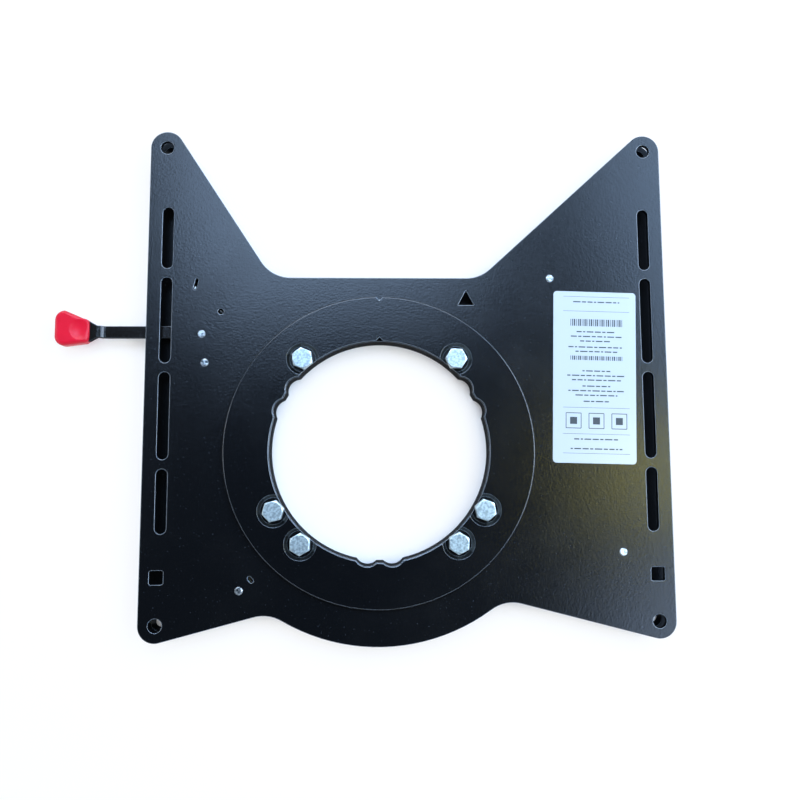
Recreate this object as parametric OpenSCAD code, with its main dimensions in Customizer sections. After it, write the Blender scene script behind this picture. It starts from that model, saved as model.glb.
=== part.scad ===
// Swivel seat base: a turntable that goes between a camper's seat box and its seat.
// Two steel plates of like outline lie one over the other. The base plate is screwed to the box.
// The top plate carries the seat and turns on a ring, held down by a clamp ring and six bolts.
// A sprung lever on the left drops its nose into a notch of the index plate and stops the turning.
// Origin: middle of the four mounting holes, on the underside of the base plate. +Z is up, +Y is
// towards the two ears, and the release lever sticks out towards -X.

/* [Mounting holes] */
// Distance between the corner holes, left to right
hole_span_x = 414; // [400:1:430]
// Distance between the corner holes, front to back
hole_span_y = 403; // [390:1:420]
// Diameter of the corner holes in the top plate
corner_hole_d = 11.5; // [9:0.5:13]
// Diameter of the corner holes in the base plate
base_hole_d = 9; // [8.5:0.5:11]
// Diameter of the countersinks round the base plate's holes
base_sink_d = 15.5; // [13:0.5:16]
// Width of the seat slots
slot_w = 9.5; // [8:0.5:11]
// Length of the two middle slots on each side
slot_inner_l = 73.4; // [60:0.2:80]
// Length of the two end slots on each side
slot_outer_l = 53.4; // [40:0.2:60]
// Bridge between two slots of a row
slot_bridge = 7.6; // [5:0.2:12]
// Distance between the left and the right row of slots
slot_span_x = 409.2; // [400:0.2:415]
// Middle of the rows of slots, front to back
slot_mid_y = 10.2; // [0:0.2:16]
// Side of the square holes
square_w = 11.5; // [9:0.5:13]
// Corner radius of the square holes
square_r = 1.8; // [0.5:0.1:3]
// Distance of the square holes from the front corner holes
square_up = 38.5; // [30:0.5:45]

/* [Plates] */
// Thickness of the base plate
base_t = 4; // [3.5:0.5:6]
// Thickness of the top plate
top_t = 4; // [3:0.5:6]
// How much smaller the base plate is than the top plate, all round
base_inset = 1.5; // [0:0.5:3]
// Radius of the plate round each corner hole
ear_r = 14; // [12:0.5:18]
// Height of the straight back edge between the ears, from the middle
back_edge_y = 87.3; // [84:0.1:95]
// Lean of the left ear's inner edge, in degrees
left_lean = 57; // [52:1:62]
// Lean of the right ear's inner edge, in degrees
right_lean = 42.5; // [38:0.5:48]
// Lean of the front edges, in degrees
foot_lean = 14.5; // [12:0.5:17]
// Radius of the round front lobe
lobe_r = 160; // [156:1:166]
// Radius of the fillets between the straight edges and the lobe
fillet_r = 30; // [20:1:36]

/* [Turning ring] */
// Place of the turning axis, left to right
axis_x = -24.4; // [-30:0.2:-18]
// Place of the turning axis, front to back
axis_y = -60; // [-64:0.5:-56]
// Radius of the centre opening
open_r = 92.4; // [86:0.2:93]
// Radius of each scallop in the opening
scallop_r = 11; // [9:0.5:12]
// How far the scallops reach past the opening
scallop_out = 3.6; // [2:0.2:4]
// Half the angle between the two scallops of a pair
scallop_half = 7; // [6:0.5:9]
// Width of the ring that the top plate turns on
core_w = 21.6; // [20.6:0.2:23.6]
// How far the clamp ring reaches past that ring
clamp_lap = 16.2; // [14:0.2:20]
// Thickness of the clamp ring's sheet
clamp_t = 2.5; // [2:0.5:3]
// Depth of the dimples pressed into the clamp ring
dimple_depth = 2.5; // [2:0.5:3]
// Radius of a dimple's flat floor
dimple_r = 11; // [10:0.2:11.4]
// Height of the spacer ring on the base plate
hub_h = 7; // [6:0.5:12]
// Thickness of the index plate
index_t = 3; // [2.5:0.5:4]
// How far the index plate reaches past the ring that the top plate turns on
index_lap = 17; // [15:0.5:19]
// Thickness of the slide ring under the top plate
low_glide_t = 1.9; // [1.5:0.1:2.5]
// Thickness of the slide ring over the top plate
up_glide_t = 1.1; // [0.8:0.1:2]
// Width of the slide ring under the top plate
low_glide_w = 9.9; // [6:0.1:10.4]
// Width of the slide ring over the top plate
up_glide_w = 12.4; // [8:0.2:13]

/* [Bolts] */
// Distance of the bolt circle from the centre opening
bolt_in = 8.1; // [7.6:0.1:8.6]
// Thread diameter of the bolts
bolt_d = 10; // [8:1:10]
// Width across flats of the bolt heads
bolt_flats = 16; // [13:1:17]
// Height of the bolt heads
bolt_head_h = 6.4; // [5:0.2:7]
// Distance of the bolts' ends from the underside
bolt_end_up = 1.2; // [0.5:0.1:3]

/* [Latch lever] */
// Thickness of the lever
lever_t = 4; // [3:0.5:4.5]
// Width of the lever's strip
strip_w = 10; // [8:0.2:12]
// Place of the lever's pivot, left to right
pivot_x = -174.2; // [-177:0.2:-172]
// Place of the lever's pivot, front to back
pivot_y = 38.6; // [36:0.2:42]
// Radius of the pivot pin's shoulder
pivot_r = 4; // [3.5:0.5:5]
// Distance of the guide pin from the pivot
guide_reach = 24.5; // [22:0.5:28]
// Radius of the guide pin's shoulder
guide_r = 3.2; // [2.8:0.2:4]
// Distance of the spring's eye from the pivot
eye_reach = 24.9; // [22:0.1:28]
// Direction of the notch from the turning axis, in degrees
latch_angle = 168; // [166:1:172]
// Width of the latch nose
nose_w = 12; // [8:0.5:14]
// Depth of the notches in the index plate
notch_depth = 6.2; // [5.8:0.1:7.5]
// Turn of the lever from rest into the notch, in degrees
latch_turn = 4.4; // [3.5:0.1:4.8]
// Turn of the lever from rest to fully pulled, in degrees
pull_turn = 9; // [5:0.5:12]
// Where the strip starts its upward step, left to right
step_x = -256.2; // [-262:0.2:-252]
// Height of the step in the strip
step_up = 3; // [2.6:0.2:5]
// Inner radius of the two bends in the step
bend_in = 3; // [2:0.5:4]

/* [Grip] */
// Length of the grip
grip_l = 28.4; // [24:0.2:36]
// Width of the grip at its outer end
grip_w = 30; // [26:0.5:34]
// Width of the grip at its inner end
grip_neck_w = 21; // [18:0.5:24]
// Thickness of the grip
grip_t = 12; // [10:0.5:15]
// Radius of the thumb dish, seen from above
dish_r = 8.8; // [6:0.2:9]
// Depth of the thumb dish
dish_depth = 1.8; // [1:0.1:2.2]

/* [Spring] */
// Outer diameter of the coil
coil_d = 6.6; // [6:0.2:7]
// Diameter of the wire
wire_d = 1.2; // [1:0.1:1.4]
// Number of turns in the coil
coil_turns = 9; // [6:1:11]

/* [Rivets and pads] */
// Diameter of the rivet ends in the top plate
rivet_d = 6; // [5:0.2:6.2]
// Diameter of the peened heads
peen_d = 6.6; // [6.4:0.1:8]
// Height of the peened heads
peen_h = 0.8; // [0.5:0.1:1.2]
// Radius of the glide pads
pad_r = 11; // [9:0.5:11.5]

/* [Label] */
// Width of the label
label_w = 71; // [60:1:74]
// Length of the label
label_l = 147; // [120:1:150]
// Thickness of the label
label_t = 0.2; // [0.1:0.05:0.4]

/* [Fits] */
// Gap between flat faces that slide on each other
slide_gap = 0.1; // [0.05:0.05:0.2]
// Radial gap of the running fits
run_gap = 0.05; // [0.02:0.01:0.1]
// Radial gap round what only passes through
pass_gap = 0.3; // [0.2:0.05:0.5]

/* [Hidden] */
$fn = 96;

black_coat = [0.14, 0.16, 0.19];
zinc = [0.74, 0.81, 0.87];
red_plastic = [0.90, 0.17, 0.29];
white_plastic = [0.88, 0.87, 0.82];
label_white = [0.90, 0.95, 0.97];

// Overshoot of cuts past the face they leave
cut = 1;

// How far arcs that would only touch an edge cut into it, so that no sliver is left
bite = 0.02;

// Heights of the stack, from the underside up
z_index = base_t + hub_h;
z_index_top = z_index + index_t;
z_top = z_index_top + low_glide_t + slide_gap;
z_face = z_top + top_t;
z_up_glide = z_face + slide_gap;
z_clamp = z_up_glide + up_glide_t;
z_clamp_top = z_clamp + clamp_t;
z_dimple_floor = z_clamp_top - dimple_depth;
z_dimple_foot = z_clamp - dimple_depth;

// The lever lies level with the index plate, its middle on the plate's middle
z_lever = z_index + index_t / 2 - lever_t / 2;
z_lever_top = z_lever + lever_t;

turn_axis = [axis_x, axis_y];
centre_r = open_r + core_w;
clamp_r = centre_r + clamp_lap;
index_r = centre_r + index_lap;
bolt_circle_r = open_r + bolt_in;
bolt_angles = [50, 130, 209.5, 229.5, 310.5, 330.5];
scallop_angles = [30, 150, 270];
mark_angle = 90;

// Corner holes, in the order left back, right back, right front, left front
half_x = hole_span_x / 2;
half_y = hole_span_y / 2;
corners = [[-half_x, half_y], [half_x, half_y], [half_x, -half_y], [-half_x, -half_y]];

function along(angle) = [cos(angle), sin(angle)];
function unit(v) = v / norm(v);
function flat(v, z) = [v[0], v[1], z];

module at(place, z = 0) {
    translate(flat(place, z)) children();
}

// Plate outline

// Where a line that touches a corner's arc of radius r crosses the height y
function crossing(corner, normal, r, y) =
    [corner[0] + (r - normal[1] * (y - corner[1])) / normal[0], y];

module plate_outline(inset = 0) {
    r = ear_r - inset;
    back_y = back_edge_y - inset;
    lobe = lobe_r - inset;
    round_r = fillet_r + inset;
    out_l = along(90 - left_lean);
    out_r = along(90 + right_lean);
    out_fl = along(foot_lean - 90);
    out_fr = along(-90 - foot_lean);
    fillets = [ear_fillet(corners[0], out_l, r, round_r, back_y),
               ear_fillet(corners[1], out_r, r, round_r, back_y),
               foot_fillet(corners[3], out_fl, r, round_r, lobe, -1),
               foot_fillet(corners[2], out_fr, r, round_r, lobe, 1)];
    difference() {
        union() {
            polygon([
                corners[3] + [-r, 0],
                corners[3],
                corners[3] + r * out_fl,
                foot_point(corners[3], out_fl, r, axis_x - lobe / 2),
                foot_point(corners[2], out_fr, r, axis_x + lobe / 2),
                corners[2] + r * out_fr,
                corners[2],
                corners[2] + [r, 0],
                corners[1] + [r, 0],
                corners[1],
                corners[1] + r * out_r,
                crossing(corners[1], out_r, r, back_y),
                crossing(corners[0], out_l, r, back_y),
                corners[0] + r * out_l,
                corners[0],
                corners[0] + [-r, 0]
            ]);
            for (corner = corners) translate(corner) circle(r = r);
            intersection() {
                translate(turn_axis) circle(r = lobe);
                translate(turn_axis - [lobe, 2 * lobe]) square(2 * lobe);
            }
            web([fillets[0][0], back_y], fillets[0], fillets[0] - round_r * out_l);
            web(fillets[1] - round_r * out_r, fillets[1], [fillets[1][0], back_y]);
            web(fillets[2] - round_r * out_fl, fillets[2], turn_axis);
            web(turn_axis, fillets[3], fillets[3] - round_r * out_fr);
        }
        for (place = fillets) translate(place) circle(r = round_r + bite);
    }
}

// Point of a front edge at a given x
function foot_point(corner, normal, r, x) =
    [x, corner[1] + (r - normal[0] * (x - corner[0])) / normal[1]];

// Centre of the fillet between an ear's inner edge and the back edge
function ear_fillet(corner, normal, r, round_r, back_y) =
    crossing(corner, normal, r + round_r, back_y + round_r);

// Centre of the fillet between a front edge and the lobe
function foot_fillet(corner, normal, r, round_r, lobe, side) =
    let (out = r + round_r - normal * (turn_axis - corner))
    let (aside = sqrt(pow(lobe + round_r, 2) - pow(out, 2)))
    turn_axis + out * normal + aside * side * [-normal[1], normal[0]];

// What fills the corner behind a fillet, before the fillet is cut: counterclockwise round its centre
module web(from, centre, to) {
    polygon([from, centre, to, to + (to - centre) / 2, from + (from - centre) / 2]);
}

// Shared cuts

// The opening through every layer, with its three pairs of scallops
module opening() {
    circle(r = open_r);
    for (pair = scallop_angles, side = [-1, 1])
        translate((open_r + scallop_out - scallop_r) * along(pair + side * scallop_half))
            circle(r = scallop_r);
}

module ring(outer, inner) {
    difference() {
        circle(r = outer);
        circle(r = inner);
    }
}

module at_bolts() {
    for (a = bolt_angles) translate(flat(bolt_circle_r * along(a), 0)) children();
}

// A ring with the scalloped opening and a hole for each bolt
module bolted_ring(outer, hole_r) {
    difference() {
        circle(r = outer);
        opening();
        at_bolts() circle(r = hole_r);
    }
}

module obround(length, width) {
    run = length - width;
    square([width, run], center = true);
    for (side = [-1, 1]) translate([0, side * run / 2]) circle(d = width);
}

// Fixed pieces

module base_plate() {
    sink_h = (base_sink_d - base_hole_d) / 2;
    color(black_coat) difference() {
        linear_extrude(base_t) difference() {
            plate_outline(base_inset);
            translate(turn_axis) bolted_ring_holes();
            for (corner = corners) translate(corner) circle(d = base_hole_d);
        }
        for (corner = corners) at(corner, base_t - sink_h)
            cylinder(h = sink_h + cut, d1 = base_hole_d, d2 = base_sink_d + 2 * cut);
    }
}

// The opening and the bolts' end holes in the base plate
module bolted_ring_holes() {
    opening();
    at_bolts() circle(r = bolt_d / 2 + pass_gap);
}

module hub_ring() {
    color(black_coat) at(turn_axis, base_t) linear_extrude(hub_h)
        bolted_ring(centre_r, bolt_d / 2 + run_gap);
}

// Latch geometry, all at rest: the nose stands just clear of the index plate's rim
pivot = [pivot_x, pivot_y];
nose_tip = turn_axis + (index_r + pass_gap) * along(latch_angle);
arm_l = norm(nose_tip - pivot);
arm_dir = unit(nose_tip - pivot);
arm_angle = atan2(arm_dir[1], arm_dir[0]);
guide_angle = -83.2;
eye_angle = 50.9;
guide = pivot + guide_reach * along(guide_angle);
eye = pivot + eye_reach * along(eye_angle);
notch_side = 0.8;

// The band that the nose moves along, halfway into the notch
module notch_band() {
    half_turn = latch_turn / 2;
    translate(pivot - turn_axis) rotate(arm_angle + half_turn)
        translate([arm_l - nose_w / 2 - notch_side, -2 * nose_w])
            square([nose_w + 2 * notch_side, 4 * nose_w]);
}

module index_plate() {
    color(black_coat) at(turn_axis, z_index) linear_extrude(index_t) difference() {
        bolted_ring(index_r, bolt_d / 2 + pass_gap);
        for (turn = [0, 180]) rotate(turn) difference() {
            notch_band();
            circle(r = index_r - notch_depth);
        }
    }
}

module lower_glide_ring() {
    color(white_plastic) at(turn_axis, z_index_top) linear_extrude(low_glide_t)
        ring(centre_r + 2 * pass_gap + low_glide_w, centre_r + 2 * pass_gap);
}

module centre_ring() {
    color(black_coat) at(turn_axis, z_index_top) linear_extrude(z_dimple_foot - z_index_top)
        bolted_ring(centre_r, bolt_d / 2 + pass_gap);
}

// The dimples' outer wall leans at 45 degrees and keeps the sheet's thickness
dimple_foot_r = dimple_r + clamp_t * (sqrt(2) - 1);

module upper_glide_ring() {
    inner = bolt_circle_r + dimple_foot_r + dimple_depth + 2 * pass_gap;
    color(white_plastic) at(turn_axis, z_up_glide) linear_extrude(up_glide_t)
        ring(inner + up_glide_w, inner);
}

// The ring's upper edge is turned off all round
clamp_edge = 0.8;

// A V mark that lines the ring up, cut to a depth from a radius
module v_mark(r, half_w, depth) {
    rotate(mark_angle) polygon([[r, -half_w], [r, half_w], [r - depth, 0]]);
}

module clamp_ring() {
    outer_mark = 3.4;
    inner_mark = 3.1;
    color(black_coat) at(turn_axis) difference() {
        union() {
            translate([0, 0, z_clamp]) cylinder(h = clamp_t - clamp_edge, r = clamp_r);
            translate([0, 0, z_clamp_top - clamp_edge])
                cylinder(h = clamp_edge, r1 = clamp_r, r2 = clamp_r - clamp_edge);
            at_bolts() translate([0, 0, z_dimple_foot])
                cylinder(h = dimple_depth, r1 = dimple_foot_r, r2 = dimple_foot_r + dimple_depth);
        }
        translate([0, 0, z_dimple_foot - cut]) linear_extrude(dimple_depth + clamp_t + 2 * cut) {
            opening();
            v_mark(clamp_r + cut, outer_mark + cut, outer_mark + cut);
            v_mark(open_r - cut, -inner_mark - cut, -inner_mark - cut);
        }
        at_bolts() {
            translate([0, 0, z_dimple_floor])
                cylinder(h = dimple_depth + cut, r1 = dimple_r, r2 = dimple_r + dimple_depth + cut);
            translate([0, 0, z_dimple_foot - cut])
                cylinder(h = dimple_depth + clamp_t + 2 * cut, r = bolt_d / 2 + pass_gap);
        }
    }
}

// Hexagon bolts, each stopped at its own angle when it was tightened
bolt_turns = [58, 38, 14, 29, 28, 40];

module hex_bolt() {
    across = bolt_flats / cos(30);
    chamfer = (across - bolt_flats * 0.95) / 2;
    intersection() {
        cylinder(h = bolt_head_h, d = across, $fn = 6);
        union() {
            cylinder(h = bolt_head_h - chamfer / 2, d = across + 1);
            translate([0, 0, bolt_head_h - chamfer / 2])
                cylinder(h = chamfer / 2, d1 = across, d2 = across - 2 * chamfer);
        }
    }
    translate([0, 0, bolt_end_up - z_dimple_floor])
        cylinder(h = z_dimple_floor - bolt_end_up + cut, d = bolt_d);
}

module clamp_bolts() {
    color(zinc) at(turn_axis, z_dimple_floor)
        for (i = [0 : len(bolt_angles) - 1])
            translate(flat(bolt_circle_r * along(bolt_angles[i]), 0)) rotate(bolt_turns[i]) hex_bolt();
}

// Turning pieces

slot_inner_y = (slot_bridge + slot_inner_l) / 2;
slot_outer_y = slot_bridge * 1.5 + slot_inner_l + slot_outer_l / 2;

module seat_slots() {
    for (side = [-1, 1], end = [-1, 1]) translate([side * slot_span_x / 2, slot_mid_y]) {
        translate([0, end * slot_inner_y]) obround(slot_inner_l, slot_w);
        translate([0, end * slot_outer_y]) obround(slot_outer_l, slot_w);
    }
}

module square_hole() {
    straight = square_w - 2 * square_r;
    square([straight, square_w], center = true);
    square([square_w, straight], center = true);
    for (x = [-1, 1], y = [-1, 1]) translate([x, y] * straight / 2) circle(r = square_r);
}

// Places of the three pads' rivets
pad_left = [-139.7, -174.1];
pad_right = [178.6, -144.8];
pad_rear = [122.1, 87.4];
pads = [pad_left, pad_right, pad_rear];

// The slot that the spring's hook comes up through, and the round hole over its other end
hook_slot = [-180, 81.5];
hook_slot_l = 10;
hook_slot_w = 2.8;
hook_slot_turn = -13.7;
peep_d = 5;

// A small hanging hole beside the left pad
hang_hole = [-130.3, -165.2];
hang_hole_l = 6;
hang_hole_w = 3.4;
hang_hole_turn = 38;

// An arrow cut near the back edge
arrow = [49.6, 63.8];
arrow_half_w = 7;
arrow_h = 13;

module top_plate() {
    color(black_coat) at([0, 0], z_top) linear_extrude(top_t) difference() {
        plate_outline();
        translate(turn_axis) circle(r = centre_r + 2 * run_gap);
        for (corner = corners) translate(corner) circle(d = corner_hole_d);
        seat_slots();
        for (side = [-1, 1]) translate([side * half_x, square_up - half_y]) square_hole();
        for (place = concat(pads, [pivot, guide])) translate(place) circle(d = rivet_d + 2 * run_gap);
        translate(hook_slot) rotate(hook_slot_turn) obround(hook_slot_l, hook_slot_w);
        translate(eye) circle(d = peep_d);
        translate(hang_hole) rotate(hang_hole_turn) obround(hang_hole_l, hang_hole_w);
        translate(arrow) polygon([[-arrow_half_w, 0], [arrow_half_w, 0], [0, arrow_h]]);
    }
}

// Riveted pins: a flange under the lever, a shoulder it turns on, a tenon peened over the plate
flange_t = 2;
flange_out = 3;
washer_out = 4;

module peened_end(from_z) {
    translate([0, 0, from_z]) cylinder(h = z_face - from_z + cut / 2, d = rivet_d);
    translate([0, 0, z_face]) cylinder(h = peen_h, d1 = peen_d, d2 = peen_d - 2 * peen_h);
}

module shoulder_pin(shoulder_r) {
    translate([0, 0, z_lever - slide_gap - flange_t]) cylinder(h = flange_t, r = shoulder_r + flange_out);
    translate([0, 0, z_lever - slide_gap]) cylinder(h = z_top - z_lever + slide_gap, r = shoulder_r);
    peened_end(z_top);
}

// A plastic washer that fills the space between the lever and the top plate
module lever_washer(shoulder_r) {
    translate([0, 0, z_lever_top + slide_gap]) linear_extrude(z_top - z_lever_top - slide_gap)
        ring(shoulder_r + washer_out, shoulder_r + run_gap);
}

module lever_pivot_pin() {
    color(zinc) at(pivot) shoulder_pin(pivot_r);
}

module pivot_washer() {
    color(white_plastic) at(pivot) lever_washer(pivot_r);
}

module lever_guide_pin() {
    color(zinc) at(guide) shoulder_pin(guide_r);
}

module guide_washer() {
    color(white_plastic) at(guide) lever_washer(guide_r);
}

// Glide pads: they bear on the base plate and are held by a rivet sunk in their underside
pad_sink_r = 6.5;
pad_sink_h = 3;
pad_edge = 1;

module glide_pad(place) {
    pad_foot = base_t + slide_gap;
    pad_h = z_top - pad_foot;
    color(white_plastic) at(place, pad_foot) difference() {
        union() {
            cylinder(h = pad_edge, r1 = pad_r - pad_edge, r2 = pad_r);
            translate([0, 0, pad_edge]) cylinder(h = pad_h - pad_edge, r = pad_r);
        }
        translate([0, 0, -cut]) cylinder(h = pad_sink_h + cut, r = pad_sink_r);
        cylinder(h = pad_h + cut, d = rivet_d + 2 * run_gap);
    }
}

module glide_pad_left() { glide_pad(pad_left); }
module glide_pad_right() { glide_pad(pad_right); }
module glide_pad_rear() { glide_pad(pad_rear); }

module pad_rivets() {
    head_h = 1.6;
    head_z = base_t + slide_gap + pad_sink_h - head_h;
    color(zinc) for (place = pads) at(place) {
        translate([0, 0, head_z]) cylinder(h = head_h, r = pad_sink_r - pass_gap);
        peened_end(head_z);
    }
}

// The label lies a little askew, as it was stuck on
label_mid = [158.6, 2];
label_turn = -1.6;
label_corner_r = 3;

module info_label() {
    w = label_w - 2 * label_corner_r;
    l = label_l - 2 * label_corner_r;
    color(label_white) at(label_mid, z_face) rotate(label_turn) linear_extrude(label_t) {
        square([w, label_l], center = true);
        square([label_w, l], center = true);
        for (x = [-1, 1], y = [-1, 1]) translate([x * w / 2, y * l / 2]) circle(r = label_corner_r);
    }
}

// Lever

strip_y = pivot_y + 2.6;
tongue_z = z_lever + step_up;
neck_half_w = 8.5;
neck_x = step_x - 12.6;
neck_l = 6.2;
tongue_end_x = step_x - 30;
boss_r = 12;
eye_boss_r = 5.5;
eye_hole_r = 1.7;
nose_out = 16;
nose_in = 10;
heel = 6;
arm_end = 9;
arm_end_r = 3.5;
arm_belly = 4;

// The latch arm, drawn along its own line from the pivot to the nose
module latch_arm() {
    // Widest point of the outer edge, beside the guide pin, and the arm's end beyond the nose
    belly_y = -boss_r - arm_belly;
    end_x = arm_l + arm_end;
    end_y = belly_y - arm_belly;
    translate(pivot) rotate(arm_angle) {
        difference() {
            union() {
                polygon([[-heel, -boss_r + 1], [guide_reach + arm_end, belly_y - 1], [end_x, end_y - 1],
                         [end_x, end_y + 2 * arm_end_r - 1], [arm_l - nose_in + 2, -nose_in / 2],
                         [guide_reach + nose_w + 3, heel], [guide_reach, nose_in - 1], [0, boss_r]]);
                translate([arm_l - nose_w / 2, -nose_out]) square([nose_w, nose_out + nose_in]);
            }
            guide_slot();
        }
        translate([end_x, end_y - 1 + arm_end_r]) circle(r = arm_end_r);
    }
}

// The arc slot for the guide pin: its ends stop the lever at both ends of its travel
module guide_slot() {
    half_w = guide_r + pass_gap;
    low = guide_angle - arm_angle - latch_turn;
    high = guide_angle - arm_angle + pull_turn;
    far = 2 * guide_reach;
    intersection() {
        ring(guide_reach + half_w - bite, guide_reach - half_w + bite);
        polygon([[0, 0], far * along(low), far * along((low + high) / 2), far * along(high)]);
    }
    for (a = [low, high]) translate(guide_reach * along(a)) circle(r = half_w);
}

module spring_arm() {
    width = 2 * eye_boss_r;
    translate(pivot) rotate(eye_angle) translate([0, -eye_boss_r]) square([eye_reach, width]);
    translate(eye) circle(r = eye_boss_r);
}

// Strip and tongue seen from above
module strip_plan() {
    half_w = strip_w / 2;
    polygon([[pivot_x, strip_y + half_w], [neck_x + neck_l, strip_y + half_w],
             [neck_x, strip_y + neck_half_w], [tongue_end_x, strip_y + neck_half_w],
             [tongue_end_x, strip_y - neck_half_w], [neck_x, strip_y - neck_half_w],
             [neck_x + neck_l, strip_y - half_w], [pivot_x, strip_y - half_w]]);
}

// The step is two equal bends with a short straight between them, as a press makes it
bend_turn = 40;
bend_mid = bend_in + lever_t / 2;
straight_l = (step_up - 2 * bend_mid * (1 - cos(bend_turn))) / sin(bend_turn);
step_run = 2 * bend_mid * sin(bend_turn) + straight_l * cos(bend_turn);

// Points on an arc from one angle to another, every five degrees
function arc(mid, r, from, to) = [for (a = [from : sign(to - from) * 5 : to]) mid + r * along(a)];

// Strip and tongue seen from the front: the strip steps up to the tongue
module strip_side() {
    low_mid = [step_x, z_lever_top + bend_in];
    high_mid = [step_x - step_run, tongue_z - bend_in];
    end_x = tongue_end_x - cut;
    bend_out = bend_in + lever_t;
    polygon(concat(
        [[pivot_x, z_lever], [pivot_x, z_lever_top]],
        arc(low_mid, bend_in, 270, 270 - bend_turn),
        arc(high_mid, bend_out, 90 - bend_turn, 90),
        [[end_x, tongue_z + lever_t], [end_x, tongue_z]],
        arc(high_mid, bend_in, 90, 90 - bend_turn),
        arc(low_mid, bend_out, 270 - bend_turn, 270)));
}

module release_lever() {
    depth = 60;
    color(black_coat) difference() {
        union() {
            translate([0, 0, z_lever]) linear_extrude(lever_t) {
                difference() {
                    latch_arm();
                    translate(turn_axis) circle(r = index_r + pass_gap);
                }
                spring_arm();
                translate(pivot) circle(r = boss_r);
            }
            intersection() {
                linear_extrude(z_face * 2) strip_plan();
                translate([0, strip_y + depth / 2, 0]) rotate([90, 0, 0]) linear_extrude(depth) strip_side();
            }
        }
        at(pivot) cylinder(h = z_face, r = pivot_r + run_gap);
        at(eye) cylinder(h = z_face, r = eye_hole_r);
    }
}

// Grip: a moulded knob pushed over the tongue, wide at its outer end, with a thumb dish on top
grip_mid_z = tongue_z + lever_t / 2;
grip_end_r = 8;
grip_neck_r = 4.5;
grip_edge_r = 3.5;
grip_in_x = neck_x;
grip_out_x = grip_in_x - grip_l;
grip_out_y = strip_y + 2.6;
grip_in_y = strip_y + 0.2;
dish_mid = [grip_in_x - dish_r + 2.6, strip_y + 1];

// One corner of the grip: a post of plan radius r whose top and bottom rims are rounded
module grip_corner(x, y, r) {
    flat_r = r - grip_edge_r;
    flat_z = grip_t / 2 - grip_edge_r;
    translate([x, y, grip_mid_z]) rotate_extrude($fn = 32) polygon(concat(
        [[0, -grip_t / 2]],
        [for (a = [-90 : 22.5 : 0]) [flat_r, -flat_z] + grip_edge_r * along(a)],
        [for (a = [0 : 22.5 : 90]) [flat_r, flat_z] + grip_edge_r * along(a)],
        [[0, grip_t / 2]]));
}

module lever_grip() {
    ball_r = (pow(dish_r, 2) + pow(dish_depth, 2)) / (2 * dish_depth);
    out_y = grip_w / 2 - grip_end_r;
    in_y = grip_neck_w / 2 - grip_neck_r;
    color(red_plastic) difference() {
        hull() {
            for (side = [-1, 1]) {
                grip_corner(grip_out_x + grip_end_r, grip_out_y + side * out_y, grip_end_r);
                grip_corner(grip_in_x - grip_neck_r, grip_in_y + side * in_y, grip_neck_r);
            }
        }
        translate([tongue_end_x, strip_y - neck_half_w, tongue_z])
            cube([grip_l, 2 * neck_half_w, lever_t]);
        translate(flat(dish_mid, grip_mid_z + grip_t / 2 + ball_r - dish_depth)) sphere(r = ball_r, $fn = 64);
    }
}

// Spring: a close coil with a hook at each end, swept along its wire's middle line

// Frames carried along a path, so that the wire doesn't twist
function tangents(path) =
    [for (i = [0 : len(path) - 1]) unit(path[min(i + 1, len(path) - 1)] - path[max(i - 1, 0)])];
function carried(v, t) = unit(v - (v * t) * t);
function frames(t, start) =
    [for (i = 0, v = carried(start, t[0]); i < len(t); i = i + 1, v = i < len(t) ? carried(v, t[i]) : v) v];

module wire(path, r, sides = 8) {
    t = tangents(path);
    u = frames(t, [0.3, 0.9, 0.1]);
    last = len(path) - 1;
    points = [for (i = [0 : last], s = [0 : sides - 1]) let (a = 360 * s / sides)
        path[i] + r * (cos(a) * u[i] + sin(a) * cross(t[i], u[i]))];
    walls = [for (i = [0 : last - 1], s = [0 : sides - 1]) let (n = (s + 1) % sides)
        [i * sides + s, i * sides + n, (i + 1) * sides + n, (i + 1) * sides + s]];
    start_cap = [[for (s = [sides - 1 : -1 : 0]) s]];
    end_cap = [[for (s = [0 : sides - 1]) last * sides + s]];
    polyhedron(points, concat(walls, start_cap, end_cap));
}

module return_spring() {
    z_coil = z_lever + lever_t / 2;
    hook = hook_slot + (hook_slot_l / 2 - wire_d) * along(hook_slot_turn - 90);
    pull = unit(eye - hook);
    across = [-pull[1], pull[0], 0];
    reach = norm(eye - hook);
    coil_r = (coil_d - wire_d) / 2;
    coil_l = coil_turns * wire_d * 1.05;
    lead = (reach - coil_l) * 0.45;
    steps = 14;
    z_over = z_lever_top + wire_d / 2 + 0.2;
    function down(s, z) = flat(hook + s * pull, z);
    function coil(turn) = down(lead + coil_l * turn / coil_turns, z_coil)
        + coil_r * (cos(360 * turn) * [0, 0, 1] + sin(360 * turn) * across);
    path = concat(
        [down(0, z_face - 0.3), down(0, z_top + 0.6), down(0.5, z_top - 0.6), down(1.6, z_coil + coil_r),
         down(lead * 0.5, z_coil + coil_r)],
        [for (i = [0 : coil_turns * steps]) coil(i / steps)],
        [down(reach - (reach - lead - coil_l) * 0.5, z_over), down(reach - 1.2, z_over),
         down(reach - 0.3, z_over - 0.3), down(reach, z_over - 1), down(reach, z_lever - 1)]);
    color(zinc) wire(path, wire_d / 2);
}

base_plate();
hub_ring();
index_plate();
lower_glide_ring();
centre_ring();
upper_glide_ring();
clamp_ring();
clamp_bolts();
top_plate();
lever_pivot_pin();
pivot_washer();
lever_guide_pin();
guide_washer();
return_spring();
glide_pad_left();
glide_pad_right();
glide_pad_rear();
pad_rivets();
info_label();
release_lever();
lever_grip();
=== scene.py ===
import math
import bmesh
import bpy
from mathutils import Matrix, Vector


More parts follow.
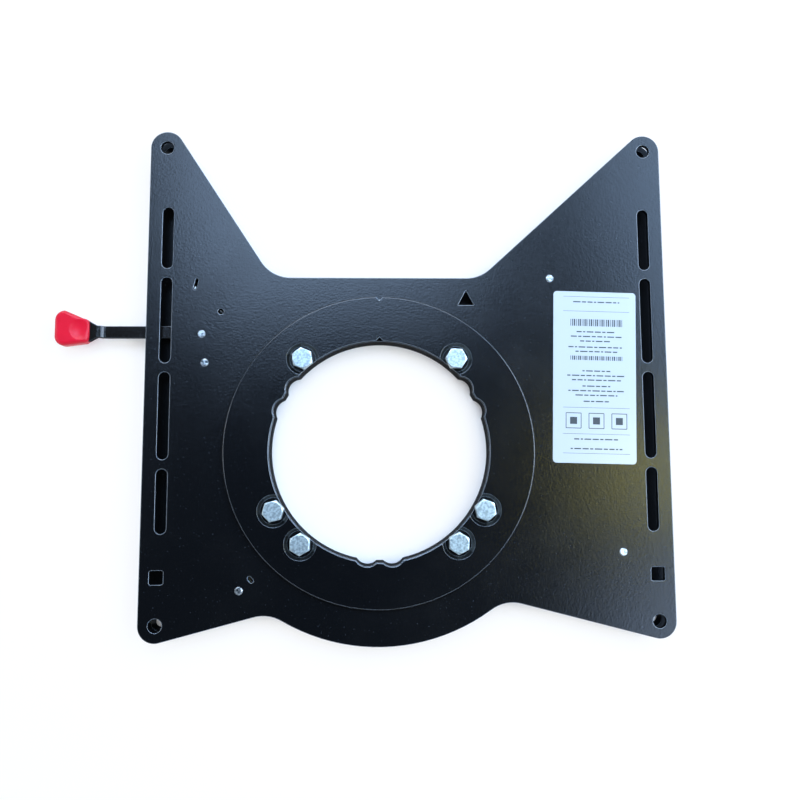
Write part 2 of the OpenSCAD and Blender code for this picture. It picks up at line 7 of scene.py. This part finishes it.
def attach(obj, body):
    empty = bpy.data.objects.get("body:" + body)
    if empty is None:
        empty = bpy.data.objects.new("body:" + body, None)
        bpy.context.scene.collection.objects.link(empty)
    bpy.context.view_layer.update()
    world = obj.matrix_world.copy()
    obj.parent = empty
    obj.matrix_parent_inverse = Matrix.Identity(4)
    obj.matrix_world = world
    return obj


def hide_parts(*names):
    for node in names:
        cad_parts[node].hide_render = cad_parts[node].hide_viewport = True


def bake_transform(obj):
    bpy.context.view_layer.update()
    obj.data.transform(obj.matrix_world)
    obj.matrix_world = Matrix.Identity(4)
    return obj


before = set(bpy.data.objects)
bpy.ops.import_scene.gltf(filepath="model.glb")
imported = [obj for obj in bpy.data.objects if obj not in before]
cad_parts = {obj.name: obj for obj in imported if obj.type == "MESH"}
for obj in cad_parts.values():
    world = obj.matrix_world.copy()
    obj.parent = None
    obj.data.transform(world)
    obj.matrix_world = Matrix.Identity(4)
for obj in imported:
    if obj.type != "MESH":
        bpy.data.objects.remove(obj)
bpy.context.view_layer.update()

# Camera
# It stands where the photograph was taken: a little left of the middle and over the front half,
# looking almost straight down. The turns and the distance come from the corner holes, the slots
# and the rivets, whose places on the part are known.
MM = 0.001
FOCAL_PX = 723.0
FRAME_PX = 800.0
SENSOR_MM = 36.0
TOP_FACE = 20.0 * MM
VIEW_TURNS = (("X", -5.45), ("Y", 1.58), ("Z", 0.23))
VIEW_OFFSET = Vector((7.1, 17.5, -610.8)) * MM
CLIP_START = 10.0 * MM

turn = Matrix.Identity(3)
for axis, degrees in VIEW_TURNS:
    turn = turn @ Matrix.Rotation(math.radians(degrees), 3, axis)
place = turn.transposed() @ -VIEW_OFFSET
place.z += TOP_FACE

camera_data = bpy.data.cameras.new("camera")
camera_data.sensor_width = SENSOR_MM
camera_data.lens = SENSOR_MM * FOCAL_PX / FRAME_PX
camera_data.clip_start = CLIP_START
camera = bpy.data.objects.new("camera", camera_data)
camera.matrix_world = Matrix.Translation(place) @ turn.transposed().to_4x4()
bpy.context.scene.collection.objects.link(camera)
bpy.context.scene.camera = camera


# Floor and room
# A white floor that the part lies on, in a pale room with a dark ceiling that the black coat mirrors.
# The floor glows white for the camera and in mirrors; where the part covers it closely, ambient occlusion
# dims the glow as painted shade.
FLOOR_HALF = 6.0
FLOOR_DROP = 0.2 * MM
FLOOR_GLOW = 0.8
COVER_REACH = 0.12
COVER_FROM = 0.42
COVER_TO = 0.64
ROOM_GREYS = ((0.12, 0.8), (0.3, 1.0), (0.55, 0.9), (0.75, 0.25), (0.88, 0.02))


def linear(code):
    """A hex colour such as c8d4dc as linear red, green, blue and alpha."""
    values = []
    for start in (0, 2, 4):
        value = int(code[start:start + 2], 16) / 255
        if value <= 0.04045:
            values.append(value / 12.92)
        else:
            values.append(((value + 0.055) / 1.055) ** 2.4)
    return (*values, 1.0)


def add(tree, kind, settings=None, first=(), **links):
    """Adds a node. settings sets its attributes or inputs by name, first joins sockets to its first
    inputs in their order, and links joins sockets to inputs by name."""
    node = tree.nodes.new(kind)
    for name, value in (settings or {}).items():
        if hasattr(node, name):
            setattr(node, name, value)
        else:
            node.inputs[name].default_value = value
    for socket, entry in zip(first, node.inputs):
        tree.links.new(socket, entry)
    for name, socket in links.items():
        tree.links.new(socket, node.inputs[name.replace("_", " ")])
    return node


def new_material(name):
    """A new material and its empty node tree."""
    material = bpy.data.materials.new(name)
    material.use_nodes = True
    tree = material.node_tree
    tree.nodes.clear()
    return material, tree


floor_material, tree = new_material("floor_white")
rays = add(tree, "ShaderNodeLightPath").outputs
# Painted shade: the floor's glow fades where ambient occlusion finds the part close above it.
shelter = add(tree, "ShaderNodeAmbientOcclusion", {"Distance": COVER_REACH, "samples": 8})
glow_with_painted_shade = add(tree, "ShaderNodeMapRange",
                 {"From Min": COVER_FROM, "From Max": COVER_TO, "To Max": FLOOR_GLOW},
                 Value=shelter.outputs["AO"])
eye_or_gloss = add(tree, "ShaderNodeMath", {"operation": "MAXIMUM"},
                   [rays["Is Camera Ray"], rays["Is Glossy Ray"]])
any_view = add(tree, "ShaderNodeMath", {"operation": "MAXIMUM"},
               [eye_or_gloss.outputs[0], rays["Is Transmission Ray"]])
seen = add(tree, "ShaderNodeMath", {"operation": "MULTIPLY"}, [any_view.outputs[0], glow_with_painted_shade.outputs[0]])
lit = add(tree, "ShaderNodeBsdfDiffuse", {"Color": linear("f4f2ef")})
glow = add(tree, "ShaderNodeEmission", {"Color": linear("ffffff"), "Strength": 1.0})
floor_mix = add(tree, "ShaderNodeMixShader", None, [seen.outputs[0], lit.outputs[0], glow.outputs[0]])
add(tree, "ShaderNodeOutputMaterial", Surface=floor_mix.outputs[0])

bm = bmesh.new()
bmesh.ops.create_grid(bm, x_segments=1, y_segments=1, size=FLOOR_HALF)
floor_mesh = bpy.data.meshes.new("floor")
bm.to_mesh(floor_mesh)
bm.free()
floor = bpy.data.objects.new("floor", floor_mesh)
floor.data.materials.append(floor_material)
floor.location.z = -FLOOR_DROP
bpy.context.scene.collection.objects.link(floor)

world = bpy.data.worlds.new("room")
world.use_nodes = True
tree = world.node_tree
tree.nodes.clear()
way = add(tree, "ShaderNodeTexCoord").outputs["Generated"]
height = add(tree, "ShaderNodeSeparateXYZ", Vector=way).outputs["Z"]
walls = add(tree, "ShaderNodeValToRGB", Fac=height)
stops = walls.color_ramp.elements
for position, grey in ROOM_GREYS[1:-1]:
    stops.new(position)
for stop, (position, grey) in zip(stops, ROOM_GREYS):
    stop.position = position
    stop.color = (grey, grey, grey, 1.0)
room = add(tree, "ShaderNodeBackground", {"Color": linear("dde7f6")}, Strength=walls.outputs["Color"])
add(tree, "ShaderNodeOutputWorld", Surface=room.outputs[0])
bpy.context.scene.world = world
bpy.context.scene.view_settings.view_transform = "Standard"


# Lights
# The coat mirrors two cool panels, behind the part and past its right edge, a blue lamp past the
# right front corner and a small olive one beside the label. A lamp stands on the grip's side, two
# wide strips light the rounded edges, and a plain fill from above is not mirrored.
STRIPS = (("strip_back", (-0.2, 2.2, 1.0), 3.4), ("strip_right", (2.2, 0.2, 1.0), 2.8))


def area_light(name, spot, target, width, depth, power, colour):
    """A rectangular lamp, measured in metres and watts, that shines from spot towards target."""
    data = bpy.data.lights.new(name, "AREA")
    data.shape = "RECTANGLE"
    data.size = width
    data.size_y = depth
    data.energy = power
    data.color = linear(colour)[:3]
    lamp = bpy.data.objects.new(name, data)
    lamp.location = spot
    direction = Vector(target) - Vector(spot)
    lamp.rotation_euler = direction.to_track_quat("-Z", "Y").to_euler()
    bpy.context.scene.collection.objects.link(lamp)
    return lamp


area_light("panel_back", (-0.16, 0.65, 1.05), (-0.1, 0.12, 0.0), 0.72, 0.7, 13.0, "b0d0f8")
area_light("panel_right", (1.00, 0.33, 1.00), (0.26, 0.07, 0.0), 1.5, 0.8, 26.0, "aed0fa")
area_light("lamp_corner", (0.70, -0.48, 1.00), (0.20, -0.17, 0.0), 0.36, 0.36, 2.9, "b4ccee")
area_light("lamp_olive", (0.57, -0.08, 1.00), (0.19, -0.07, 0.0), 0.18, 0.2, 1.1, "e2d850")
area_light("lamp_left", (-1.5, 0.1, 0.75), (-0.28, 0.04, 0.0), 0.7, 0.7, 5.0, "f2f4f8")
for name, spot, width in STRIPS:
    strip = area_light(name, spot, (0.0, 0.0, 0.0), width, 1.5, 70.0, "e4eefc")
    strip.visible_diffuse = False
fill = area_light("fill_soft", (0.0, -0.1, 1.6), (0.0, -0.05, 0.0), 1.0, 1.0, 7.0, "f6f8fb")
fill.visible_glossy = False


# Black powder coat
# Satin black polyester powder baked on steel. Its orange peel is a millimetre or two wide, its rounded
# edges get a higher specular level and a pale grey tint as a painted highlight, it is dull on the cut
# walls, and handling has left faint rubs and dust on the faces. The lower plate is duller than the upper
# one.
RUBS_MM = 55
DUST_MM = 1.4
DUST_FROM = 0.73
DUST_TO = 0.79
DUST_COVER = 0.35
COAT_EDGE = 1.0 * MM
EDGE_FROM = 0.965
EDGE_TO = 0.82
WALL_LEVEL = 0.5
WALL_GLOSS = 0.02
WALL_ROUGHER = 0.35
WORN_ROUGHER = 0.14
PEEL_DEPTH = 0.17 * MM


def black_coat(name, colour, peel_mm, rough, gloss=0.5, edge_highlight_share=0.85):
    """Powder coat with its orange peel's width in millimetres. Its last argument says how strongly the
    rounded edges are tinted pale, a painted highlight.
    """
    material, tree = new_material(name)
    spot = add(tree, "ShaderNodeTexCoord").outputs["Object"]
    peel = add(tree, "ShaderNodeTexNoise", {"Scale": 1000 / peel_mm, "Detail": 3.0}, Vector=spot)
    rubs = add(tree, "ShaderNodeTexNoise", {"Scale": 1000 / RUBS_MM, "Detail": 7.0, "Roughness": 0.62},
               Vector=spot)
    dust = add(tree, "ShaderNodeTexNoise", {"Scale": 1000 / DUST_MM, "Detail": 1.0}, Vector=spot)
    specks = add(tree, "ShaderNodeMapRange",
                 {"From Min": DUST_FROM, "From Max": DUST_TO, "To Max": DUST_COVER},
                 Value=dust.outputs["Fac"])
    worn = add(tree, "ShaderNodeMapRange", {"From Min": 0.45, "From Max": 0.75, "To Max": 0.35},
               Value=rubs.outputs["Fac"])
    tint = add(tree, "ShaderNodeMixRGB", {"Color1": linear(colour), "Color2": linear("4a525c")},
               Fac=specks.outputs[0])
    edge = add(tree, "ShaderNodeBevel", {"Radius": COAT_EDGE, "samples": 8})
    face = add(tree, "ShaderNodeNewGeometry").outputs["True Normal"]
    flat = add(tree, "ShaderNodeVectorMath", {"operation": "DOT_PRODUCT"}, [edge.outputs[0], face])
    up = add(tree, "ShaderNodeSeparateXYZ", Vector=face).outputs["Z"]
    level = add(tree, "ShaderNodeMath", {"operation": "ABSOLUTE"}, Value=up)
    # Painted highlight: where the Bevel normal turns off the true face, the rounded edges are tinted pale
    # grey 98a6b2.
    turned = add(tree, "ShaderNodeMapRange",
                 {"From Min": EDGE_FROM, "From Max": EDGE_TO, "To Max": edge_highlight_share},
                 Value=flat.outputs["Value"])
    rim = add(tree, "ShaderNodeMath", {"operation": "MULTIPLY"}, [turned.outputs[0], level.outputs[0]])
    painted_edge_highlight_colour = add(tree, "ShaderNodeMixRGB", {"Color2": linear("98a6b2")}, Fac=rim.outputs[0],
               Color1=tint.outputs[0])
    shine = add(tree, "ShaderNodeMapRange",
                {"From Max": WALL_LEVEL, "To Min": WALL_GLOSS, "To Max": gloss},
                Value=level.outputs[0])
    gleam = add(tree, "ShaderNodeMath", {"operation": "ADD", "use_clamp": True},
                [shine.outputs[0], rim.outputs[0]])
    matt = add(tree, "ShaderNodeMapRange", {"To Min": rough, "To Max": rough + WORN_ROUGHER},
               Value=worn.outputs[0])
    wall_matt = add(tree, "ShaderNodeMapRange",
                    {"From Max": WALL_LEVEL, "To Min": WALL_ROUGHER, "To Max": 0.0},
                    Value=level.outputs[0])
    all_matt = add(tree, "ShaderNodeMath", {"operation": "ADD"}, [matt.outputs[0], wall_matt.outputs[0]])
    grain = add(tree, "ShaderNodeBump", {"Strength": 0.8, "Distance": PEEL_DEPTH},
                Height=peel.outputs["Fac"], Normal=edge.outputs[0])
    coat = add(tree, "ShaderNodeBsdfPrincipled", Base_Color=painted_edge_highlight_colour.outputs[0], Roughness=all_matt.outputs[0],
               Specular_IOR_Level=gleam.outputs[0], Normal=grain.outputs[0])
    add(tree, "ShaderNodeOutputMaterial", Surface=coat.outputs[0])
    return material


def dress(node, material):
    """Gives a CAD node its material."""
    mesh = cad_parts[node].data
    mesh.materials.clear()
    mesh.materials.append(material)


plate_coat = black_coat("powder_coat_satin_black", "06080b", 1.5, 0.23)
ring_coat = black_coat("powder_coat_ring", "06080b", 1.5, 0.21, 0.5, 1.0)
lever_coat = black_coat("powder_coat_lever", "12100f", 1.4, 0.17, 0.45, 0.25)
lower_coat = black_coat("powder_coat_lower_plate", "06080b", 1.5, 0.30, 0.1)
for node in ("hub_ring", "index_plate", "centre_ring", "top_plate"):
    dress(node, plate_coat)
dress("base_plate", lower_coat)
dress("clamp_ring", ring_coat)
dress("release_lever", lever_coat)


# Zinc plated steel
# Bright zinc with a bluish passivation, on the bolts, the pins, the rivets and the spring. The
# barrel-plated faces are mottled at a millimetre or two, and the chamfers shine.
FINE_MM = 0.35
ZINC_DARK_AT = 0.4
ZINC_BRIGHT_AT = 0.6
ZINC_EDGE = 0.25 * MM
ZINC_ROUGHER = 0.22
ZINC_GRAIN = 0.03 * MM


def zinc_plate(name, colour, dark, blotch_mm, rough, dent):
    """Mottled zinc with the width of its blotches and the depth of its dents in millimetres."""
    material, tree = new_material(name)
    spot = add(tree, "ShaderNodeTexCoord").outputs["Object"]
    blotch = add(tree, "ShaderNodeTexNoise", {"Scale": 1000 / blotch_mm, "Detail": 5.0, "Roughness": 0.6},
                 Vector=spot)
    fine = add(tree, "ShaderNodeTexNoise", {"Scale": 1000 / FINE_MM, "Detail": 2.0}, Vector=spot)
    tone = add(tree, "ShaderNodeValToRGB", Fac=blotch.outputs["Fac"])
    tone.color_ramp.elements[0].position = ZINC_DARK_AT
    tone.color_ramp.elements[0].color = linear(dark)
    tone.color_ramp.elements[1].position = ZINC_BRIGHT_AT
    tone.color_ramp.elements[1].color = linear(colour)
    matt = add(tree, "ShaderNodeMapRange", {"To Min": rough, "To Max": rough + ZINC_ROUGHER},
               Value=blotch.outputs["Fac"])
    edge = add(tree, "ShaderNodeBevel", {"Radius": ZINC_EDGE, "samples": 6})
    marks = add(tree, "ShaderNodeBump", {"Strength": 0.4, "Distance": dent * MM},
                Height=blotch.outputs["Fac"], Normal=edge.outputs[0])
    grain = add(tree, "ShaderNodeBump", {"Strength": 0.2, "Distance": ZINC_GRAIN},
                Height=fine.outputs["Fac"], Normal=marks.outputs[0])
    metal = add(tree, "ShaderNodeBsdfPrincipled", {"Metallic": 1.0}, Base_Color=tone.outputs["Color"],
                Roughness=matt.outputs[0], Normal=grain.outputs[0])
    add(tree, "ShaderNodeOutputMaterial", Surface=metal.outputs[0])
    return material


bolt_zinc = zinc_plate("zinc_plated_bolts", "c6d6da", "98a8ae", 1.8, 0.38, 0.2)
rivet_zinc = zinc_plate("zinc_plated_rivets", "dce4e8", "4c555b", 2.4, 0.24, 1.3)
wire_zinc = zinc_plate("zinc_plated_wire", "e6eef2", "aab6be", 1.5, 0.42, 0.05)
dress("clamp_bolts", bolt_zinc)
for node in ("lever_pivot_pin", "lever_guide_pin", "pad_rivets"):
    dress(node, rivet_zinc)
dress("return_spring", wire_zinc)


# Slide plastic
# Off-white acetal, turned or moulded: the two slide rings, the washers and the three pads. It is
# waxy and a little see-through, with faint flow marks.
FLOW_MM = 9
SLIDE_EDGE = 0.3 * MM

slide_white, tree = new_material("slide_acetal_white")
spot = add(tree, "ShaderNodeTexCoord").outputs["Object"]
flow = add(tree, "ShaderNodeTexNoise", {"Scale": 1000 / FLOW_MM, "Detail": 3.0}, Vector=spot)
tone = add(tree, "ShaderNodeValToRGB", Fac=flow.outputs["Fac"])
tone.color_ramp.elements[0].color = linear("d8d4c8")
tone.color_ramp.elements[1].color = linear("ece9e0")
edge = add(tree, "ShaderNodeBevel", {"Radius": SLIDE_EDGE, "samples": 4})
body = add(tree, "ShaderNodeBsdfPrincipled",
           {"Roughness": 0.42, "Subsurface Weight": 0.15, "Subsurface Scale": 0.5 * MM},
           Base_Color=tone.outputs["Color"], Normal=edge.outputs[0])
add(tree, "ShaderNodeOutputMaterial", Surface=body.outputs[0])
for node in ("lower_glide_ring", "upper_glide_ring", "pivot_washer", "guide_washer",
             "glide_pad_left", "glide_pad_right", "glide_pad_rear"):
    dress(node, slide_white)


# Label
# White film, a little glossy, with its print left off. In its place it has grey rules and plain
# bars, printed in thin ink that stands a hair proud of the film. Their places are in millimetres
# from the label's middle.
LABEL_MID = Vector((158.6, 2.0, 20.2)) * MM
LABEL_TURN = math.radians(-1.6)
FILM_MM = 3
FILM_RIPPLE = 0.05 * MM
INK = 0.03 * MM
PRINT_X = 1.5
RULES = (69.1, 56.5, -26.5, -48.8, -65.2)
RULE_HALF_W = 28.5
RULE_HALF_H = 0.14
ROWS = ((64.6, 20), (38.6, 17), (34.6, 22), (30.6, 14), (25.4, 24), (21.6, 18), (4.9, 12), (0.9, 25),
        (-2.9, 21), (-8.1, 12), (-12.1, 24), (-15.9, 18), (-21.1, 11), (-53.2, 19), (-61.3, 22))
DASH_HALF_H = 0.5
WORDS = (5.2, 2.8, 6.4, 3.6, 4.4, 1.9, 5.8)
WORD_GAP = 1.2
STRIPES = ((46.6, 22.0, 3.0), (16.0, 22.0, 1.8))
STRIPE_COUNT = 28
STRIPE_THIN = 0.26
STRIPE_STEP = 0.16
FRAMES_X = (-18.0, 1.5, 21.0)
FRAMES_Y = -37.6
FRAME_HALF = 6.4
FRAME_LINE = 0.3
FRAME_DOT = 3.0
PRINT_SMOOTH_DEG = 10

label_material, tree = new_material("label_white_film")
spot = add(tree, "ShaderNodeTexCoord").outputs["Object"]
film = add(tree, "ShaderNodeTexNoise", {"Scale": 1000 / FILM_MM, "Detail": 2.0}, Vector=spot)
ripple = add(tree, "ShaderNodeBump", {"Strength": 0.05, "Distance": FILM_RIPPLE},
             Height=film.outputs["Fac"])
sheet = add(tree, "ShaderNodeBsdfPrincipled", {"Base Color": linear("bbc1c3"), "Roughness": 0.24},
            Normal=ripple.outputs[0])
add(tree, "ShaderNodeOutputMaterial", Surface=sheet.outputs[0])
dress("info_label", label_material)

ink_material, tree = new_material("label_ink")
ink = add(tree, "ShaderNodeBsdfPrincipled", {"Base Color": linear("30373c"), "Roughness": 0.5})
add(tree, "ShaderNodeOutputMaterial", Surface=ink.outputs[0])


def finish_piece(bm, name, material, smooth_deg):
    """Turns a bmesh into an object with one material, smooth across edges flatter than smooth_deg."""
    bmesh.ops.recalc_face_normals(bm, faces=bm.faces)
    for face in bm.faces:
        face.smooth = True
    for edge in bm.edges:
        edge.smooth = len(edge.link_faces) == 2 and edge.calc_face_angle() < math.radians(smooth_deg)
    mesh = bpy.data.meshes.new(name)
    bm.to_mesh(mesh)
    bm.free()
    mesh.materials.append(material)
    piece = bpy.data.objects.new(name, mesh)
    bpy.context.scene.collection.objects.link(piece)
    return piece


def print_bar(bm, x, y, half_w, half_h):
    """One printed rectangle."""
    spot = Matrix.Translation(LABEL_MID) @ Matrix.Rotation(LABEL_TURN, 4, "Z")
    spot = spot @ Matrix.Translation(Vector((x, y, 0.0)) * MM)
    spot = spot @ Matrix.Diagonal((half_w * MM, half_h * MM, 1.0, 1.0))
    new = bmesh.ops.create_grid(bm, x_segments=1, y_segments=1, size=1.0, matrix=spot)
    faces = list({face for vert in new["verts"] for face in vert.link_faces})
    grown = bmesh.ops.extrude_face_region(bm, geom=faces)
    top = [item for item in grown["geom"] if isinstance(item, bmesh.types.BMVert)]
    bmesh.ops.translate(bm, verts=top, vec=(0.0, 0.0, INK))


def print_row(bm, y, half_w):
    """A row of short dashes, as long and as far apart as printed words are."""
    x = -half_w
    count = round(abs(y))
    while x < half_w - WORD_GAP:
        word = min(WORDS[count % len(WORDS)], half_w - x)
        print_bar(bm, PRINT_X + x + word / 2, y, word / 2, DASH_HALF_H)
        x += word + WORD_GAP
        count += 1


bm = bmesh.new()
for y in RULES:
    print_bar(bm, PRINT_X, y, RULE_HALF_W, RULE_HALF_H)
for y, half_w in ROWS:
    print_row(bm, y, half_w)
for y, half_w, half_h in STRIPES:
    for index in range(STRIPE_COUNT):
        x = PRINT_X - half_w + 2 * index * half_w / (STRIPE_COUNT - 1)
        print_bar(bm, x, y, STRIPE_THIN + STRIPE_STEP * (index % 3), half_h)
for x in FRAMES_X:
    print_bar(bm, x, FRAMES_Y, FRAME_DOT, FRAME_DOT)
    for side in (-1, 1):
        print_bar(bm, x + side * FRAME_HALF, FRAMES_Y, FRAME_LINE, FRAME_HALF)
        print_bar(bm, x, FRAMES_Y + side * FRAME_HALF, FRAME_HALF, FRAME_LINE)
label_print = finish_piece(bm, "label_print", ink_material, PRINT_SMOOTH_DEG)
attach(label_print, "turntable")


# Return spring
# A close coil of 1.2 mm zinc plated wire, drawn as one curve along the wire. One end comes up
# through the top plate's slanted slot, the other bends down through the lever's eye and goes with it.
HOOK_SLOT = Vector((-180.0, 81.5))
HOOK_SLOT_L = 5.0
SLOT_DOWN = Vector((math.cos(math.radians(-103.7)), math.sin(math.radians(-103.7))))
PIVOT = Vector((-174.2, 38.6))
EYE_R = 24.9
EYE = PIVOT + EYE_R * Vector((math.cos(math.radians(50.9)), math.sin(math.radians(50.9))))
WIRE = 1.2
COIL_R = (6.6 - WIRE) / 2
COIL_PITCH = 1.05
TURNS = 9
STEPS = 24
LEAD_SHARE = 0.45
Z_COIL = 12.5
Z_OVER = 14.5 + WIRE / 2 + 0.2
HOOK = ((0.3, 19.2), (-0.3, 19.38), (-0.9, 19.3), (-1.4, 18.9), (-1.6, 18.2), (-1.6, 16.6), (-1.5, 15.9))
WIRE_SMOOTH_DEG = 50
WELD = 0.001 * MM


def spring_points():
    """Points along the middle of the wire, in millimetres."""
    hook = HOOK_SLOT + (HOOK_SLOT_L - WIRE) * SLOT_DOWN
    line = EYE - hook
    reach = line.length
    line.normalize()
    side = Vector((-line.y, line.x, 0.0))
    coil_l = TURNS * WIRE * COIL_PITCH
    lead = (reach - coil_l) * LEAD_SHARE
    tail = reach - lead - coil_l

    def down(along, z):
        return Vector((hook.x + along * line.x, hook.y + along * line.y, z))

    def over(along, z):
        spot = hook + along * SLOT_DOWN
        return Vector((spot.x, spot.y, z))

    points = [over(along, z) for along, z in HOOK]
    points += [down(0.5, 15.5), down(1.6, Z_COIL + COIL_R), down(lead * 0.5, Z_COIL + COIL_R)]
    for step in range(TURNS * STEPS + 1):
        angle = math.tau * step / STEPS
        ring = COIL_R * (math.cos(angle) * Vector((0.0, 0.0, 1.0)) + math.sin(angle) * side)
        points.append(down(lead + coil_l * step / (TURNS * STEPS), Z_COIL) + ring)
    points += [down(reach - tail * 0.5, Z_OVER), down(reach - 1.2, Z_OVER), down(reach - 0.5, Z_OVER - 0.12),
               down(reach - 0.1, Z_OVER - 0.5), down(reach, Z_OVER - 1.1), down(reach, 9.5)]
    return points


wire = bpy.data.curves.new("spring_wire", "CURVE")
wire.dimensions = "3D"
wire.bevel_depth = WIRE / 2 * MM
wire.bevel_resolution = 3
wire.use_fill_caps = True
path = spring_points()
spline = wire.splines.new("POLY")
spline.points.add(len(path) - 1)
for point, spot in zip(spline.points, path):
    point.co = (*(spot * MM), 1.0)
spline.use_smooth = True
curve_object = bpy.data.objects.new("spring_curve", wire)
bpy.context.scene.collection.objects.link(curve_object)
bm = bmesh.new()
bm.from_mesh(curve_object.to_mesh())
curve_object.to_mesh_clear()
bpy.data.objects.remove(curve_object)
bmesh.ops.remove_doubles(bm, verts=bm.verts, dist=WELD)
spring_wire = finish_piece(bm, "spring_wire", wire_zinc, WIRE_SMOOTH_DEG)
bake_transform(spring_wire)
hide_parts("return_spring")


# Grip
# Red moulded plastic with a soft gloss, pushed over the lever's tongue. It is wide and rounded at its
# outer end, narrow at the neck, with a round thumb dish on top that runs out over the neck's edge.
# Its lengths are in millimetres, and each corner's middle stands SPREAD off the corners' middle line.
SKIN_MM = 0.5
FADE_MM = 12
GRIP_IN = -268.8
GRIP_OUT = -297.2
GRIP_MID = Vector((-282.5, 42.8))
NECK_R = 4.5
NECK_Y = 41.4
NECK_SPREAD = 6.0
END_R = 8.0
END_Y = 43.8
END_SPREAD = 7.0
GRIP_Z = 15.5
GRIP_HALF_T = 6.0
GRIP_EDGE = 3.4
DISH = Vector((-275.0, 42.2))
DISH_R = 8.8
DISH_DEPTH = 2.4
RIM_POINTS = 128
CORNER_STEPS = 16
ROUND_STEPS = 6
CAP_STEPS = 15
CAP_SHARE = 0.06
GRIP_SMOOTH_DEG = 30

red_material, tree = new_material("red_moulded_plastic")
spot = add(tree, "ShaderNodeTexCoord").outputs["Object"]
skin = add(tree, "ShaderNodeTexNoise", {"Scale": 1000 / SKIN_MM, "Detail": 2.0}, Vector=spot)
fade = add(tree, "ShaderNodeTexNoise", {"Scale": 1000 / FADE_MM, "Detail": 3.0}, Vector=spot)
tone = add(tree, "ShaderNodeValToRGB", Fac=fade.outputs["Fac"])
tone.color_ramp.elements[0].color = linear("c80e27")
tone.color_ramp.elements[1].color = linear("da1832")
grain = add(tree, "ShaderNodeBump", {"Strength": 0.12, "Distance": 0.05 * MM}, Height=skin.outputs["Fac"])
plastic = add(tree, "ShaderNodeBsdfPrincipled",
              {"Roughness": 0.34, "Specular IOR Level": 0.25, "Subsurface Weight": 0.08,
               "Subsurface Scale": 0.6 * MM},
              Base_Color=tone.outputs["Color"], Normal=grain.outputs[0])
add(tree, "ShaderNodeOutputMaterial", Surface=plastic.outputs[0])


def grip_outline():
    """The grip seen from above: two wide corners at the outer end and two narrow ones at the neck."""
    corners = ((GRIP_IN - NECK_R, NECK_Y + NECK_SPREAD, NECK_R, 0),
               (GRIP_OUT + END_R, END_Y + END_SPREAD, END_R, 90),
               (GRIP_OUT + END_R, END_Y - END_SPREAD, END_R, 180),
               (GRIP_IN - NECK_R, NECK_Y - NECK_SPREAD, NECK_R, 270))
    outline = []
    for x, y, radius, start in corners:
        for step in range(CORNER_STEPS + 1):
            angle = math.radians(start + 90 * step / CORNER_STEPS)
            outline.append(Vector((x + radius * math.cos(angle), y + radius * math.sin(angle))))
    return outline


def spread(outline, count):
    """The same outline with count evenly spaced points."""
    closed = outline + outline[:1]
    lengths = [0.0]
    for a, b in zip(closed, closed[1:]):
        lengths.append(lengths[-1] + (b - a).length)
    even = []
    part = 0
    for index in range(count):
        goal = lengths[-1] * index / count
        while lengths[part + 1] < goal:
            part += 1
        share = (goal - lengths[part]) / max(lengths[part + 1] - lengths[part], 1e-9)
        even.append(closed[part].lerp(closed[part + 1], share))
    return even


def dish_drop(spot):
    """How deep the thumb dish is at a point: a shallow bowl with a crisp rim."""
    away = (spot - DISH).length / DISH_R
    if away >= 1.0:
        return 0.0
    return DISH_DEPTH * (1.0 - away ** 2) ** 0.8


def grow_ring(bm, edges, here, spots):
    """Extrudes a ring of edges that runs through the points here, and puts its new points on spots."""
    grown = bmesh.ops.extrude_edge_only(bm, edges=edges)["geom"]
    verts = [item for item in grown if isinstance(item, bmesh.types.BMVert)]
    new_edges = [item for item in grown if isinstance(item, bmesh.types.BMEdge)]
    for vert in verts:
        index = min(range(RIM_POINTS), key=lambda i: (here[i] - vert.co).length_squared)
        vert.co = spots[index]
    return [edge for edge in new_edges if all(vert in verts for vert in edge.verts)]


# Each step from the rim to the middle of a face: how far in it lies, then what share of the way to
# the middle it goes, and its height over the grip's middle plane.
shell = [(0.0, 0.0, GRIP_HALF_T - GRIP_EDGE)]
for index in range(1, ROUND_STEPS + 1):
    angle = math.radians(90 * index / ROUND_STEPS)
    inset = GRIP_EDGE * (1 - math.cos(angle))
    shell.append((inset, 0.0, GRIP_HALF_T - GRIP_EDGE + GRIP_EDGE * math.sin(angle)))
for index in range(1, CAP_STEPS + 1):
    shell.append((GRIP_EDGE, CAP_SHARE * index, GRIP_HALF_T))

bm = bmesh.new()
rim = spread(grip_outline(), RIM_POINTS)
rim_spots = [Vector((spot.x, spot.y, GRIP_Z)) * MM for spot in rim]
circle = bmesh.ops.create_circle(bm, segments=RIM_POINTS, radius=1.0)["verts"]
for vert, spot in zip(circle, rim_spots):
    vert.co = spot
start_edges = list(bm.edges)
for side in (1, -1):
    ring = start_edges
    here = rim_spots
    for inset, share, z in shell:
        spots = []
        for spot in rim:
            inner = spot + (GRIP_MID - spot).normalized() * inset
            inner = inner.lerp(GRIP_MID, share)
            drop = dish_drop(inner) * min(1.0, z / GRIP_HALF_T) if side > 0 else 0.0
            spots.append(Vector((inner.x, inner.y, GRIP_Z + side * z - drop)) * MM)
        ring = grow_ring(bm, ring, here, spots)
        here = spots
    bmesh.ops.contextual_create(bm, geom=ring)
grip_body = finish_piece(bm, "grip_body", red_material, GRIP_SMOOTH_DEG)
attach(grip_body, "lever")
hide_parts("lever_grip")
